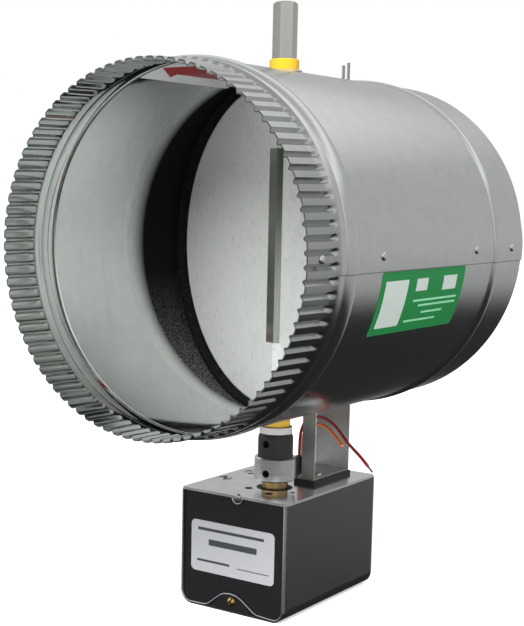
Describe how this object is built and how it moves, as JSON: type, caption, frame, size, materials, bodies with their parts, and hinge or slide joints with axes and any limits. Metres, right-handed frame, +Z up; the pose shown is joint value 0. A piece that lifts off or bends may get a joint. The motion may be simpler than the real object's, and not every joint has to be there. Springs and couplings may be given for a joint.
{
  "type": "motorized_duct_damper",
  "caption": "Round galvanised duct section with a motor-driven shut-off blade on a hexagonal shaft, one crimped end, and an open-faced motor under the duct.",
  "frame": {"origin": "centre of the plain rear collar's mouth, on the duct's axis", "axes": "+Y along the duct, out of the plain rear mouth; +Z up along the damper shaft, away from the motor; +X to the right as seen from the crimped end"},
  "size_m": [0.2082, 0.254, 0.3632],
  "materials": {
    "duct_zinc": "smooth galvanised sheet",
    "blade_zinc": "flat galvanised sheet",
    "shaft_steel": "drawn bar",
    "rivet_metal": "plain",
    "black_foam": "closed-cell foam",
    "yellow_plastic": "moulded",
    "white_plastic": "moulded",
    "coupler_grey": "dark oxide",
    "collar_aluminium": "turned",
    "bearing_brass": "turned",
    "plate_silver": "stamped plate",
    "cover_black": "semi-gloss enamel",
    "panel_black": "semi-gloss enamel",
    "pad_black": "flat pad",
    "grommet_black": "moulded",
    "red_insulation": "wire insulation",
    "orange_insulation": "wire insulation",
    "tinned_wire": "tinned strands",
    "gear_steel": "cut steel",
    "gear_brass": "cut brass",
    "can_steel": "drawn steel",
    "copper_winding": "lacquered copper",
    "magnet_grey": "ferrite",
    "screw_dark": "blackened"
  },
  "bodies": {
    "duct": {"duct_shell": "duct_zinc", "seam_rivets": "rivet_metal", "wire_clip": "duct_zinc", "upper_washer": "white_plastic", "lower_washer": "white_plastic", "output_bearing": "bearing_brass", "motor_can": "can_steel", "motor_coil": "copper_winding", "gear_plate": "plate_silver", "lower_gear_plate": "plate_silver", "gear_posts": "gear_steel", "motor_cover": "cover_black", "front_panel": "panel_black", "foot_screw": "shaft_steel", "cover_screw": "bearing_brass", "motor_bracket": "duct_zinc", "bracket_pad": "pad_black", "bracket_rivets": "rivet_metal", "cable_grommet": "grommet_black", "red_lead": "red_insulation", "orange_lead": "orange_insulation", "lead_tip": "tinned_wire"},
    "blade": {"damper_shaft": "shaft_steel", "upper_bushing": "yellow_plastic", "lower_bushing": "yellow_plastic", "front_disc": "blade_zinc", "rear_disc": "blade_zinc", "foam_gasket": "black_foam", "shaft_spacer": "white_plastic", "shaft_coupler": "coupler_grey", "drive_collar": "collar_aluminium", "coupler_screw": "screw_dark", "collar_screw": "bearing_brass", "output_shaft": "gear_steel", "output_gear": "gear_steel"},
    "idler": {"idler_gear": "gear_brass"},
    "rotor": {"rotor_pinion": "gear_brass", "motor_rotor": "magnet_grey"}
  },
  "joints": [
    {"name": "blade_swing", "type": "hinge", "parent": "duct", "child": "blade", "pos_m": [0, -0.121, 0], "axis": [0, 0, 1], "range_deg": [-69, 21]},
    {"name": "idler_spin", "type": "hinge", "parent": "duct", "child": "idler", "pos_m": [-0.0198, -0.1012, -0.16], "axis": [0, 0, 1], "range_deg": [-84, 276]},
    {"name": "rotor_spin", "type": "hinge", "parent": "duct", "child": "rotor", "pos_m": [-0.0198, -0.0844, -0.17], "axis": [0, 0, 1], "range_deg": [-828, 252]}
  ],
  "couplings": [
    {"joint": "idler_spin", "follows": "blade_swing", "ratio": -4},
    {"joint": "rotor_spin", "follows": "blade_swing", "ratio": 12}
  ]
}
